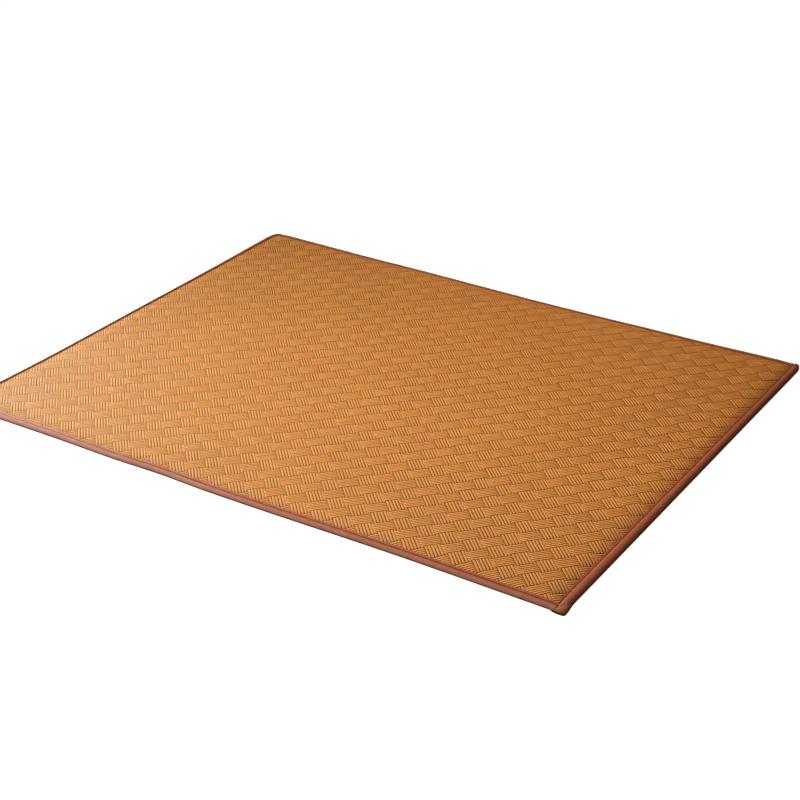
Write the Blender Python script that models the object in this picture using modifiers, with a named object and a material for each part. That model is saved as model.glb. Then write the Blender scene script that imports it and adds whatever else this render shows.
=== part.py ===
"""Rattan sleeping mat: a woven pad with a crowned face, bound on its four sides with folded cloth tape.

Run with blender --background --python part.py, or from Blender's text editor. The units are metres.
X runs along the long sides, Y along the short ones, +Z is up. The origin is under the middle of the
mat, on the surface that it lies on.
"""

import bpy
import bmesh

# Driving dimensions, from the outside of one binding to the outside of the other.
MAT_LENGTH = 2.0
MAT_WIDTH = 1.5
FACE_HEIGHT = 0.0140
TAPE_THICKNESS = 0.0015
GAP = 0.0004
# The long tapes' ends stay this far from the short tapes, whose cloth is oblique to them there.
BUTT_GAP = 0.0008
# How far the pad's blunt outer edge stays behind the tape's inner skin.
BLUNT = 0.0009

# The pressed-down rim beside the seam, and how far in the face takes to reach its full height.
CROWN_REACH = 0.050
CROWN_FULLNESS = 2.3
HEEL = 0.006

# The tape on each side: its width on top at the start and the end of the side, and the height of
# the roll that it makes. The sides at the left and right start at the front corner, the other two
# at the left corner.
TAPES = {
    # side: (width at start, width at end, roll height)
    "front": (0.024, 0.024, 0.0135),
    "back": (0.017, 0.017, 0.0135),
    "left": (0.016, 0.016, 0.0140),
    "right": (0.035, 0.029, 0.0150),
}

# How far each side lies inwards of the plain rectangle: (share along the side, millimetres
# inwards). The outline is uneven: the left end is a little wider, and the long sides are drawn in.
DRAWN_IN = {
    "front": ((0.0, -14.0), (0.2, -9.5), (0.29, -11.0), (0.38, -6.5), (0.46, -9.5), (0.8, 1.5), (1.0, 0.0)),
    "back": ((0.0, -10.0), (0.25, 2.0), (0.6, 14.0), (0.8, 9.5), (1.0, 0.0)),
    "left": ((0.0, -5.0), (0.3, 6.5), (0.7, 9.0), (1.0, 5.0)),
    "right": ((0.0, 0.0), (1.0, 3.0)),
}

# Each corner: which end of the X and Y sides it is, how far it is pulled inwards along X and Y in
# millimetres (outwards where negative), and how far along the sides the pull reaches.
CORNERS = (
    # (x sign, y sign, pull along X, pull along Y, reach in metres)
    (-1, -1, 5.0, 5.0, 0.060),
    (1, -1, -6.0, -6.0, 0.055),
    (1, 1, 1.0, -4.0, 0.045),
    (-1, 1, 5.0, 4.0, 0.070),
)

# Outer skin of a folded tape, seen along the side: share of the tape's width from the outermost
# point, and share of the roll's height. It runs from the free edge on top, round the outside, to
# the free edge underneath.
ROLL_TOP = (
    # (across, height)
    (1.00, 0.62),
    (0.86, 0.76),
    (0.66, 0.94),
    (0.44, 1.00),
    (0.21, 0.90),
    (0.06, 0.67),
    (0.00, 0.42),
)
ROLL_UNDER = (
    (0.04, 0.17),
    (0.20, 0.00),
    (1.00, 0.00),
)

# Places of the grid lines of the woven body, from one side inwards: shares of the tape's width,
# then distances past the tape's free edge, then even steps across the middle.
LINES_UNDER_TAPE = (0.0, 0.12, 0.36, 0.68, 1.0)
LINES_PAST_TAPE = (0.0005, 0.009, 0.022, 0.048)
FIELD_STEP = 0.085
# Distances of a tape's own sections from its end, where it is folded in and where it butts. The
# others lie on the body's grid lines, so that cloth and body stay parallel.
FOLDED_END_LINES = (0.0, 0.0012, 0.0035, 0.0075, 0.013)
BUTTED_END_LINES = (0.0,)
LEAST_SPACING = 0.0030

WOVEN_COLOUR = (0.52, 0.27, 0.09, 1.0)
TAPE_COLOUR = (0.36, 0.13, 0.08, 1.0)


def clear_scene():
    for obj in list(bpy.data.objects):
        bpy.data.objects.remove(obj, do_unlink=True)


def new_collection(name):
    collection = bpy.data.collections.new(name)
    bpy.context.scene.collection.children.link(collection)
    return collection


def new_material(name, colour, roughness):
    material = bpy.data.materials.new(name)
    material.use_nodes = True
    shader = material.node_tree.nodes["Principled BSDF"]
    shader.inputs["Base Color"].default_value = colour
    shader.inputs["Roughness"].default_value = roughness
    shader.inputs["Metallic"].default_value = 0.0
    return material


def smoothstep(share):
    share = min(max(share, 0.0), 1.0)
    return share * share * (3.0 - 2.0 * share)


def read_table(table, at):
    """The value at a place along a table of (place, value) rows, eased from row to row."""
    if at <= table[0][0]:
        return table[0][1]
    for (start, low), (end, high) in zip(table[:-1], table[1:]):
        if at <= end:
            return low + (high - low) * smoothstep((at - start) / (end - start))
    return table[-1][1]


def line_through(table, at):
    """The value at a place along a table of (place, value) rows, straight between them and beyond."""
    for (start, low), (end, high) in zip(table[:-1], table[1:]):
        if at <= end:
            break
    return low + (high - low) * (at - start) / (end - start)


def settle(x, y):
    """Moves a point of the plain rectangle to where it lies in the mat's slightly uneven outline."""
    along_x = x / MAT_LENGTH + 0.5
    along_y = y / MAT_WIDTH + 0.5
    left = read_table(DRAWN_IN["left"], along_y)
    right = read_table(DRAWN_IN["right"], along_y)
    front = read_table(DRAWN_IN["front"], along_x)
    back = read_table(DRAWN_IN["back"], along_x)
    shift_x = left * (1.0 - along_x) - right * along_x
    shift_y = front * (1.0 - along_y) - back * along_y
    for sign_x, sign_y, pull_x, pull_y, reach in CORNERS:
        near_x = 1.0 - (MAT_LENGTH / 2.0 - sign_x * x) / reach
        near_y = 1.0 - (MAT_WIDTH / 2.0 - sign_y * y) / reach
        if near_x > 0.0 and near_y > 0.0:
            weight = smoothstep(near_x) * smoothstep(near_y)
            shift_x -= sign_x * pull_x * weight
            shift_y -= sign_y * pull_y * weight
    return x + shift_x / 1000.0, y + shift_y / 1000.0


def tape_width(side, along):
    start, end, height = TAPES[side]
    return start + (end - start) * min(max(along, 0.0), 1.0)


def inset_profile(width, height, depth):
    """The roll's outline moved inwards by a depth: its upper and lower branch, as (distance, height)."""
    outline = [(across * width, up * height) for across, up in ROLL_TOP + ROLL_UNDER]
    inward = []
    for before, after in zip(outline[:-1], outline[1:]):
        run = after[0] - before[0]
        rise = after[1] - before[1]
        length = (run * run + rise * rise) ** 0.5
        inward.append((-rise / length, run / length))
    moved = []
    for index, (distance, level) in enumerate(outline):
        one = inward[max(index - 1, 0)]
        other = inward[min(index, len(inward) - 1)]
        mitre = depth / (1.0 + one[0] * other[0] + one[1] * other[1])
        moved.append((distance + (one[0] + other[0]) * mitre, level + (one[1] + other[1]) * mitre))
    top = sorted(moved[: len(ROLL_TOP)])
    under = sorted(moved[len(ROLL_TOP) - 1 :])
    return top, under


def face_height(distance, width, height):
    """Top of the woven body at a distance from one side's outermost line."""
    top = inset_profile(width, height, TAPE_THICKNESS + GAP)[0]
    if distance <= width:
        return line_through(top, distance)
    rim = line_through(top, width)
    share = min((distance - width) / CROWN_REACH, 1.0)
    return rim + (FACE_HEIGHT - rim) * (1.0 - (1.0 - share) ** CROWN_FULLNESS)


def heel_height(distance, width, height):
    """Underside of the woven body at a distance from one side's outermost line."""
    under = inset_profile(width, height, TAPE_THICKNESS + GAP)[1]
    if distance <= width:
        return line_through(under, distance)
    share = (distance - width - GAP) / HEEL
    return (TAPE_THICKNESS + GAP) * (1.0 - smoothstep(share))


def side_lines(width):
    """Distances of the body's grid lines from one side's outermost line."""
    outermost = TAPE_THICKNESS + GAP + BLUNT
    under = [outermost + share * (width - outermost) for share in LINES_UNDER_TAPE]
    return under + [width + distance for distance in LINES_PAST_TAPE]


def grid_places(extent, low_width, high_width):
    """Places of all the grid lines across the mat, from the low side to the high one."""
    low = [-extent / 2.0 + distance for distance in side_lines(low_width)]
    high = [extent / 2.0 - distance for distance in reversed(side_lines(high_width))]
    count = round(extent / FIELD_STEP)
    step = (high[0] - low[-1]) / count
    field = [low[-1] + step * number for number in range(1, count)]
    return low + field + high


def lines_along(lengthwise, y):
    """The body's grid lines along Y, or along X as they lie at a place in Y."""
    if lengthwise:
        return grid_places(MAT_WIDTH, tape_width("front", 0.5), tape_width("back", 0.5))
    right = tape_width("right", y / MAT_WIDTH + 0.5)
    return grid_places(MAT_LENGTH, tape_width("left", 0.5), right)


def surface_height(x, y, kind):
    """Height of the body's top or underside at a place in the plain rectangle."""
    along_x = x / MAT_LENGTH + 0.5
    along_y = y / MAT_WIDTH + 0.5
    reaches = (
        (x + MAT_LENGTH / 2.0, "left", along_y),
        (MAT_LENGTH / 2.0 - x, "right", along_y),
        (y + MAT_WIDTH / 2.0, "front", along_x),
        (MAT_WIDTH / 2.0 - y, "back", along_x),
    )
    profile = heel_height if kind == "heel" else face_height
    heights = [profile(far, tape_width(side, at), TAPES[side][2]) for far, side, at in reaches]
    if kind == "heel":
        return max(heights)
    drops = [max(FACE_HEIGHT - height, 0.0) for height in heights]
    return FACE_HEIGHT - sum(drop ** 3 for drop in drops) ** (1.0 / 3.0)


def shape_grid(columns, rows, place):
    """A grid primitive whose every vertex is moved to the place of its column and row."""
    bm = bmesh.new()
    bmesh.ops.create_grid(bm, x_segments=columns - 1, y_segments=rows - 1, size=0.5)
    for vert in bm.verts:
        column = round((vert.co.x + 0.5) * (columns - 1))
        row = round((vert.co.y + 0.5) * (rows - 1))
        vert.co = place(column, row)
    return bm


def add_object(name, bm, material, collection):
    mesh = bpy.data.meshes.new(name)
    bm.to_mesh(mesh)
    bm.free()
    mesh.materials.append(material)
    mesh.shade_smooth()
    obj = bpy.data.objects.new(name, mesh)
    collection.objects.link(obj)
    return obj


def make_body(material, collection):
    """The woven mat: one grid for its face, extruded down to its underside."""
    rows_y = lines_along(True, 0.0)
    rows_x = [lines_along(False, y) for y in rows_y]
    count_x = len(rows_x[0])
    count_y = len(rows_y)

    def plain_place(column, row):
        return rows_x[row][column], rows_y[row]

    def top_place(column, row):
        x, y = plain_place(column, row)
        return (*settle(x, y), surface_height(x, y, "face"))

    def heel_place(column, row):
        x, y = plain_place(column, row)
        return (*settle(x, y), surface_height(x, y, "heel"))

    bm = shape_grid(count_x, count_y, top_place)
    mark = bm.verts.layers.float.new("heel_height")
    heel = shape_grid(count_x, count_y, heel_place)
    for vert, below in zip(bm.verts, heel.verts):
        vert[mark] = below.co.z
    heel.free()
    grown = bmesh.ops.extrude_face_region(bm, geom=list(bm.faces), use_keep_orig=True)
    for item in grown["geom"]:
        if isinstance(item, bmesh.types.BMVert):
            item.co.z = item[mark]
    bmesh.ops.recalc_face_normals(bm, faces=bm.faces)
    return add_object("mat_body", bm, material, collection)


def stations(start, end, folded, lines):
    """Places of a tape's sections: its own at both ends, and the body's grid lines between them."""
    ends = FOLDED_END_LINES if folded else BUTTED_END_LINES
    first = [start + distance for distance in ends]
    last = [end - distance for distance in reversed(ends)]
    low = first[-1] + LEAST_SPACING
    high = last[0] - LEAST_SPACING
    middle = [line for line in lines if low < line < high]
    return first + middle + last


def make_tape(side, start, end, folded, material, collection):
    """One folded tape: an open skin round the mat's edge, closed at its ends where they are folded in,
    with Solidify for the cloth's thickness."""
    lengthwise = side in ("left", "right")
    extent = MAT_WIDTH if lengthwise else MAT_LENGTH
    outermost = (MAT_LENGTH if lengthwise else MAT_WIDTH) / 2.0
    sign = 1.0 if side in ("right", "back") else -1.0
    height = TAPES[side][2]
    outline = ROLL_TOP + ROLL_UNDER
    lines = lines_along(lengthwise, sign * MAT_WIDTH / 2.0)
    places = stations(start, end, folded, lines)

    def end_limit(place):
        """The greatest height near a folded end, which rounds down like the roll of the side it meets."""
        limits = []
        for neighbour, distance in (("front", place + extent / 2.0), ("back", extent / 2.0 - place)):
            width = tape_width(neighbour, 0.5)
            roll = [(across * width, up * height) for across, up in reversed(ROLL_TOP)]
            crest = max(roll, key=lambda point: point[1])
            limits.append(line_through(roll, distance) if distance < crest[0] else height)
        return min(limits)

    def place_point(column, row):
        along = places[column]
        width = tape_width(side, along / extent + 0.5)
        across, up = outline[row]
        level = up * height
        if folded and row < len(ROLL_TOP):
            level = min(level, end_limit(along))
        away = sign * (outermost - across * width)
        x, y = (away, along) if lengthwise else (along, away)
        return (*settle(x, y), level)

    bm = shape_grid(len(places), len(outline), place_point)
    if folded:
        for along in (places[0], places[-1]):
            close_end(bm, along, place_point, places, len(outline))
    bmesh.ops.recalc_face_normals(bm, faces=bm.faces)
    highest = max(bm.faces, key=lambda face: face.calc_center_median().z)
    if highest.normal.z < 0.0:
        bmesh.ops.reverse_faces(bm, faces=bm.faces)
    tape = add_object("binding_" + side, bm, material, collection)
    cloth = tape.modifiers.new("cloth", "SOLIDIFY")
    cloth.thickness = TAPE_THICKNESS
    cloth.offset = -1.0
    cloth.use_even_offset = True
    return tape


def close_end(bm, along, place_point, places, count):
    """Fills the section at one end of a tape with a face, as its folded-in end."""
    column = places.index(along)
    ring = []
    for row in range(count):
        target = place_point(column, row)
        nearest = min(bm.verts, key=lambda vert: sum((a - b) ** 2 for a, b in zip(vert.co, target)))
        ring.append(nearest)
    bm.faces.new(ring)


def main():
    clear_scene()
    parts = new_collection("rattan_sleeping_mat")
    woven = new_material("woven_rattan", WOVEN_COLOUR, 0.55)
    tape = new_material("binding_cloth", TAPE_COLOUR, 0.6)

    make_body(woven, parts)
    half_length = MAT_LENGTH / 2.0
    half_width = MAT_WIDTH / 2.0
    make_tape("left", -half_width, half_width, True, tape, parts)
    make_tape("right", -half_width, half_width, True, tape, parts)
    left_edge = -half_length + tape_width("left", 0.0) + BUTT_GAP
    make_tape("front", left_edge, half_length - tape_width("right", 0.0) - BUTT_GAP, False, tape, parts)
    make_tape("back", left_edge, half_length - tape_width("right", 1.0) - BUTT_GAP, False, tape, parts)


main()
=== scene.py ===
# %% [markdown]
# # A rattan sleeping mat, dressed over its CAD solids
#
# The mat is split rattan plaited in blocks of five at 45 degrees to its sides, with a folded cloth
# tape sewn round its edge. The CAD model holds the right sizes and the uneven outline. This script
# adds what the eye looks for: every strand that lies on top, the rolled tape, the stitches in the
# seam, the finishes, a floor, lights and a camera.

# %% Load the frame
import math
import random

import bpy
import numpy as np
from mathutils import Matrix, Vector


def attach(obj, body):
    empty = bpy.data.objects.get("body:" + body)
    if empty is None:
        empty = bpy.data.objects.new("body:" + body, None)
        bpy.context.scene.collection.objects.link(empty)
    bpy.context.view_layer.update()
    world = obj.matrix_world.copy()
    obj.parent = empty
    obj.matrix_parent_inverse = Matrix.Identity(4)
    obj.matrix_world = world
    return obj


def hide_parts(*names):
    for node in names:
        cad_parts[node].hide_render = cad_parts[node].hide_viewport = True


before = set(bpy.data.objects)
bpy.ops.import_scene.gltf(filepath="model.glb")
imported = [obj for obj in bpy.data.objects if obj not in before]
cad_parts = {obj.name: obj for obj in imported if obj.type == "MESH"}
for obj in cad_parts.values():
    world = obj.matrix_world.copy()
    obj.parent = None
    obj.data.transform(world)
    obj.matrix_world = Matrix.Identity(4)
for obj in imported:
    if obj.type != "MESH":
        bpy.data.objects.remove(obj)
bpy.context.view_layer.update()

scene = bpy.context.scene

# %% [markdown]
# ## The plan of the mat
#
# A real mat is never a true rectangle: its sides bow a little, and each corner is pulled in or
# pushed out by the sewing. We could trace that outline on every piece, but it is far easier to make
# everything on a plain rectangle of 2.0 by 1.5 m and then move every point at once. `settle` does
# that with the sizes of the CAD model, and with a few millimetres of its own at the corners, so that
# what we make stays on the solids.

# %% Sizes of the plain rectangle, in metres
MILLIMETRES = 1000.0
LENGTH = 2.0
WIDTH = 1.5
# Height of the woven face, how far from a seam it reaches it, and how fast it rises at first.
FACE = 0.0140
CROWN_REACH = 0.050
CROWN_FULLNESS = 2.3

# Each side's tape: width at its start and end, height of its roll, height of the weave beside it.
TAPES = {
    "front": (0.024, 0.024, 0.0135, 0.0085),
    "back": (0.012, 0.012, 0.0135, 0.0094),
    "left": (0.011, 0.011, 0.0140, 0.0097),
    "right": (0.035, 0.029, 0.0150, 0.0072),
}
# Where a tape is wider than that: (share along the side, millimetres added).
WIDENED = {
    "front": ((0.0, 1.5), (1.0, 4.0)),
    "back": ((0.0, 7.0), (0.22, 0.5), (0.72, 0.5), (1.0, 8.0)),
    "left": ((0.0, 0.0), (0.55, 0.0), (0.95, 8.0), (1.0, 8.0)),
    "right": ((0.0, 0.0), (1.0, 0.0)),
}
# How far each side is drawn in: (share along the side, millimetres inwards).
DRAWN_IN = {
    "front": (
        (0.0, -14.0), (0.2, -9.5), (0.29, -11.0), (0.38, -6.5), (0.46, -9.5), (0.8, 1.5), (1.0, 0.0)),
    "back": ((0.0, -10.0), (0.25, 2.0), (0.6, 14.0), (0.8, 9.5), (1.0, 0.0)),
    "left": ((0.0, -5.0), (0.3, 6.5), (0.7, 9.0), (1.0, 5.0)),
    "right": ((0.0, 0.0), (1.0, 3.0)),
}
# Each corner: signs of X and Y, millimetres that it is pulled inwards, reach of the pull in metres.
CORNERS = (
    (-1, -1, 5.0, 5.0, 0.060),
    (1, -1, -6.0, -6.0, 0.055),
    (1, 1, 1.0, -4.0, 0.045),
    (-1, 1, 5.0, 4.0, 0.070),
    (1, 1, 1.0, 5.0, 0.090),
    (1, 1, 6.0, 3.0, 0.025),
    (-1, 1, 8.0, 6.0, 0.026),
    (1, -1, 1.0, 4.0, 0.020),
)


# %% From the plain rectangle to the mat's own outline
def smoothstep(share):
    share = np.clip(share, 0.0, 1.0)
    return share * share * (3.0 - 2.0 * share)


def eased(table, at):
    """Values along a table of (place, value) rows, eased from row to row."""
    value = np.full(np.shape(at), table[0][1], float)
    for (start, low), (end, high) in zip(table[:-1], table[1:]):
        step = low + (high - low) * smoothstep((at - start) / (end - start))
        value = np.where(at > start, step, value)
    return value


def outline_shift(x, y):
    """How far a point of the plain rectangle moves, in metres."""
    along_x = x / LENGTH + 0.5
    along_y = y / WIDTH + 0.5
    left, right = eased(DRAWN_IN["left"], along_y), eased(DRAWN_IN["right"], along_y)
    front, back = eased(DRAWN_IN["front"], along_x), eased(DRAWN_IN["back"], along_x)
    shift_x = left * (1.0 - along_x) - right * along_x
    shift_y = front * (1.0 - along_y) - back * along_y
    for sign_x, sign_y, pull_x, pull_y, reach in CORNERS:
        near_x = smoothstep(1.0 - (LENGTH / 2.0 - sign_x * x) / reach)
        near_y = smoothstep(1.0 - (WIDTH / 2.0 - sign_y * y) / reach)
        shift_x = shift_x - sign_x * pull_x * near_x * near_y
        shift_y = shift_y - sign_y * pull_y * near_x * near_y
    return shift_x / MILLIMETRES, shift_y / MILLIMETRES


def settle(x, y):
    """The place in the mat of a point of the plain rectangle."""
    shift_x, shift_y = outline_shift(x, y)
    return x + shift_x, y + shift_y


def unsettle(x, y):
    """The point of the plain rectangle that settles at a place, found in three rounds."""
    plain_x, plain_y = x, y
    for _ in range(3):
        shift_x, shift_y = outline_shift(plain_x, plain_y)
        plain_x, plain_y = x - shift_x, y - shift_y
    return plain_x, plain_y


print("the front corner at the right settles at", [round(float(a), 4) for a in settle(1.0, -0.75)])


# %% Height of the woven face
def tape_width(side, along):
    start, end = TAPES[side][:2]
    return start + (end - start) * np.clip(along, 0.0, 1.0)


def past_tape(x, y):
    """Distances from a point to the free edge of each side's tape, positive on the open face."""
    return {
        "front": y + WIDTH / 2.0 - tape_width("front", 0.5),
        "back": WIDTH / 2.0 - y - tape_width("back", 0.5),
        "left": x + LENGTH / 2.0 - tape_width("left", 0.5),
        "right": LENGTH / 2.0 - x - tape_width("right", y / WIDTH + 0.5),
    }


def face_height(x, y):
    """The weave is full in the middle and rolls down to each seam, where the thread holds it thin.

    The cubes and their root let the rolls of two sides blend in a corner.
    """
    total = 0.0
    for side, distance in past_tape(x, y).items():
        rim = TAPES[side][3]
        share = np.clip(distance / CROWN_REACH, 0.0, 1.0)
        total = total + ((FACE - rim) * (1.0 - share) ** CROWN_FULLNESS) ** 3
    return FACE - total ** (1.0 / 3.0)


print("face height in the middle and beside the front seam",
      round(float(face_height(0.0, 0.0)), 4), round(float(face_height(0.0, -0.72)), 4))

# %% [markdown]
# ## Small tools for modelling
#
# `bpy.ops` works on what is selected, so a few helpers keep that tidy: one that starts every piece with
# nothing selected, one that reads and writes all the points of a mesh at once, and one that finishes a
# piece: its material and the body it rides on.


# %% Helpers
def nothing_selected():
    if bpy.context.object and bpy.context.object.mode != "OBJECT":
        bpy.ops.object.mode_set(mode="OBJECT")
    bpy.ops.object.select_all(action="DESELECT")


def only(piece):
    nothing_selected()
    piece.select_set(True)
    bpy.context.view_layer.objects.active = piece


def read_points(mesh):
    points = np.empty(len(mesh.vertices) * 3, np.float32)
    mesh.vertices.foreach_get("co", points)
    return points.reshape(-1, 3).astype(float)


def write_points(mesh, points):
    mesh.vertices.foreach_set("co", np.ascontiguousarray(points, np.float32).ravel())
    mesh.update()


def write_attribute(mesh, name, values):
    """One number for each point, which a material can read by its name."""
    data = mesh.attributes.new(name, "FLOAT", "POINT").data
    data.foreach_set("value", np.ascontiguousarray(values, np.float32))


def corner_points(mesh):
    """The number of the point at each corner of each face, as a UV map lists them."""
    numbers = np.empty(len(mesh.loops), np.int32)
    mesh.loops.foreach_get("vertex_index", numbers)
    return numbers


def add_grid(name, columns, rows):
    """A flat grid primitive and the column and row of each of its points."""
    nothing_selected()
    bpy.ops.mesh.primitive_grid_add(x_subdivisions=columns - 1, y_subdivisions=rows - 1, size=1.0)
    piece = bpy.context.object
    piece.name = name
    piece.data.name = name
    flat = read_points(piece.data)
    column = np.rint((flat[:, 0] + 0.5) * (columns - 1)).astype(int)
    row = np.rint((flat[:, 1] + 0.5) * (rows - 1)).astype(int)
    return piece, column, row


def in_edit_mode(piece, *steps):
    """Runs edit-mode operators on everything in a piece."""
    only(piece)
    bpy.ops.object.mode_set(mode="EDIT")
    bpy.ops.mesh.select_all(action="SELECT")
    for step in steps:
        step()
    bpy.ops.object.mode_set(mode="OBJECT")


def add_copies(name, faces, x, y, z):
    """One piece of many copies of a shape: a row of x, y and z for each copy."""
    count, size = x.shape
    offsets = (np.arange(count) * size)[:, None]
    polygons = [
        face for corners in faces for face in (np.array(corners)[None, :] + offsets).tolist()]
    mesh = bpy.data.meshes.new(name)
    points = np.stack([x.ravel(), y.ravel(), z.ravel()], axis=1)
    mesh.from_pydata(points.tolist(), [], polygons)
    piece = bpy.data.objects.new(name, mesh)
    scene.collection.objects.link(piece)
    return piece


def face_outwards(piece):
    in_edit_mode(piece, lambda: bpy.ops.mesh.normals_make_consistent(inside=False))
    only(piece)


def finish_piece(piece, material):
    piece.data.materials.clear()
    piece.data.materials.append(material)
    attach(piece, "root")
    piece.data.calc_loop_triangles()
    print(piece.name, len(piece.data.loop_triangles), "triangles")


# %% [markdown]
# ## Finishes
#
# Rattan is a pale wood with long fibres, honey brown and a little glossy where it is worn. Each
# strand differs a little from its neighbour, so every strand carries a number, `tone`, that the
# material reads. The fibres run along the strand, so they follow the strand's own UV map, which is
# in metres. The tape is a close plain weave in terracotta with a soft sheen.


# %% Helpers for node trees
def new_material(name):
    material = bpy.data.materials.new(name)
    material.use_nodes = True
    tree = material.node_tree
    return material, tree, tree.nodes["Principled BSDF"]


def add_node(tree, kind, settings=(), inputs=()):
    node = tree.nodes.new(kind)
    for key, value in dict(settings).items():
        setattr(node, key, value)
    for key, value in dict(inputs).items():
        if isinstance(value, bpy.types.NodeSocket):
            tree.links.new(value, node.inputs[key])
        else:
            node.inputs[key].default_value = value
    return node


def add_ramp(tree, factor, stops):
    node = tree.nodes.new("ShaderNodeValToRGB")
    tree.links.new(factor, node.inputs["Fac"])
    ramp = node.color_ramp
    while len(ramp.elements) < len(stops):
        ramp.elements.new(0.5)
    for element, (place, colour) in zip(ramp.elements, stops):
        element.position = place
        element.color = (*colour, 1.0)
    return node.outputs["Color"]


def add_mix(tree, factor, first, second, blend="MIX"):
    node = add_node(tree, "ShaderNodeMix", {"data_type": "RGBA", "blend_type": blend})
    for key, value in ((0, factor), (6, first), (7, second)):
        if isinstance(value, bpy.types.NodeSocket):
            tree.links.new(value, node.inputs[key])
        else:
            node.inputs[key].default_value = value
    return node.outputs[2]


def add_tint(tree, colour, tint):
    return add_mix(tree, 1.0, colour, tint, "MULTIPLY")


def add_bands(tree, vector, direction, scale, distortion=0.0):
    return add_node(tree, "ShaderNodeTexWave", {"bands_direction": direction}, {
        "Vector": vector, "Scale": scale, "Distortion": distortion})


# %% Rattan
WHITE = (1.0, 1.0, 1.0, 1.0)
RATTAN_DARK = (0.500, 0.195, 0.041)
RATTAN_MID = (0.555, 0.223, 0.050)
RATTAN_LIGHT = (0.605, 0.252, 0.062)
# Each row below has three colours of painted light and shade: at the front corner on the left, in the
# middle, and at the back corner on the right. They are the share of its colour that a strand keeps at
# its foot under painted shade, how far down its side that painted shade is full, the painted tints of
# the strands of both directions, and the painted shade in the gaps. RIM_SHARE is what a strand keeps
# beside a tape under painted shade.
PAINTED_LIGHT_REACH = 1.5
PAINTED_FOOT_SHARES = ((0.66, 0.56, 0.44), (0.17, 0.09, 0.03), (0.04, 0.02, 0.006))
PAINTED_FOOT_ENDS = ((0.80, 0.80, 0.80), (0.50, 0.50, 0.50), (0.34, 0.34, 0.34))
DOWN_PAINTED_TINTS = ((0.94, 1.04, 1.14), (1.05, 1.05, 1.10), (1.40, 1.29, 1.18))
ACROSS_PAINTED_TINTS = ((0.96, 1.06, 1.20), (1.06, 1.06, 1.14), (1.14, 1.05, 0.98))
RIM_SHARE = (0.66, 0.50, 0.42)
PAINTED_GAP_SHADES = ((0.380, 0.150, 0.040), (0.260, 0.085, 0.012), (0.280, 0.090, 0.015))
# Fibres for each metre across and along a strand.
FIBRE_SCALE = (2600.0, 70.0, 1.0)


def add_painted_light_gradient(tree, where, colours):
    """Painted light and shade: a colour that changes slowly from the front left corner, over the
    middle, to the back right.
    """
    apart = add_node(tree, "ShaderNodeSeparateXYZ", inputs={"Vector": where.outputs["Object"]})
    total = add_node(tree, "ShaderNodeMath", {"operation": "ADD"}, {
        0: apart.outputs["X"], 1: apart.outputs["Y"]})
    share = add_node(tree, "ShaderNodeMapRange", inputs={
        "Value": total.outputs["Value"], 1: -PAINTED_LIGHT_REACH, 2: PAINTED_LIGHT_REACH})
    return add_ramp(tree, share.outputs["Result"], list(zip((0.0, 0.5, 1.0), colours)))


def make_rattan(name, tints):
    material, tree, shader = new_material(name)
    where = add_node(tree, "ShaderNodeTexCoord")
    fibre_map = add_node(tree, "ShaderNodeMapping", inputs={
        "Vector": where.outputs["UV"], "Scale": FIBRE_SCALE})
    fibres = add_node(tree, "ShaderNodeTexNoise", inputs={
        "Vector": fibre_map.outputs["Vector"], "Scale": 1.0, "Detail": 3.0})
    colour = add_ramp(tree, fibres.outputs["Fac"], (
        (0.25, RATTAN_DARK), (0.50, RATTAN_MID), (0.78, RATTAN_LIGHT)))
    tone = add_node(tree, "ShaderNodeAttribute", {"attribute_name": "tone"})
    shade = add_node(tree, "ShaderNodeMapRange", {"clamp": False}, {
        "Value": tone.outputs["Fac"], "To Min": 0.92, "To Max": 1.02})
    colour = add_tint(tree, colour, shade.outputs["Result"])
    # Painted shade beside the tapes.
    rim = add_node(tree, "ShaderNodeAttribute", {"attribute_name": "rim"})
    kept = add_mix(tree, rim.outputs["Fac"], WHITE, (*RIM_SHARE, 1.0))
    colour = add_tint(tree, colour, kept)
    # Painted shade down each strand's side to its foot, and on its ends.
    painted_foot_shade = add_node(tree, "ShaderNodeAttribute", {"attribute_name": "painted_foot_shade"})
    depth = add_node(tree, "ShaderNodeMapRange", inputs={
        "Value": painted_foot_shade.outputs["Fac"], 1: 0.05, 2: add_painted_light_gradient(tree, where, PAINTED_FOOT_ENDS)})
    kept = add_mix(tree, depth.outputs["Result"], WHITE, add_painted_light_gradient(tree, where, PAINTED_FOOT_SHARES))
    colour = add_tint(tree, colour, kept)
    # Painted tints that change over the mat, one set for each direction of strand.
    colour = add_tint(tree, colour, add_painted_light_gradient(tree, where, tints))
    patches = add_node(tree, "ShaderNodeTexNoise", inputs={
        "Vector": where.outputs["Object"], "Scale": 3.5, "Detail": 4.0})
    drift = add_ramp(tree, patches.outputs["Fac"], (
        (0.3, (0.97, 0.96, 0.95)), (0.7, (1.03, 1.035, 1.04))))
    colour = add_tint(tree, colour, drift)
    tree.links.new(colour, shader.inputs["Base Color"])
    gloss = add_node(tree, "ShaderNodeMapRange", inputs={
        "Value": fibres.outputs["Fac"], "To Min": 0.46, "To Max": 0.60})
    tree.links.new(gloss.outputs["Result"], shader.inputs["Roughness"])
    bump = add_node(tree, "ShaderNodeBump", inputs={
        "Height": fibres.outputs["Fac"], "Strength": 0.25, "Distance": 0.0002})
    tree.links.new(bump.outputs["Normal"], shader.inputs["Normal"])
    shader.inputs["Specular IOR Level"].default_value = 0.22
    return material


# Lit and shaded copies of one finish, with painted tints for each direction of strand.
down_rattan = make_rattan("split rattan", DOWN_PAINTED_TINTS)
across_rattan = make_rattan("split rattan across", ACROSS_PAINTED_TINTS)


# %% The painted shade in the gaps, and the underside
STRAND_PITCH = 0.00806
BLOCK = 6
# Waves for each metre that put one ridge on each strand.
RIDGE_SCALE = 39.0


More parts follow.
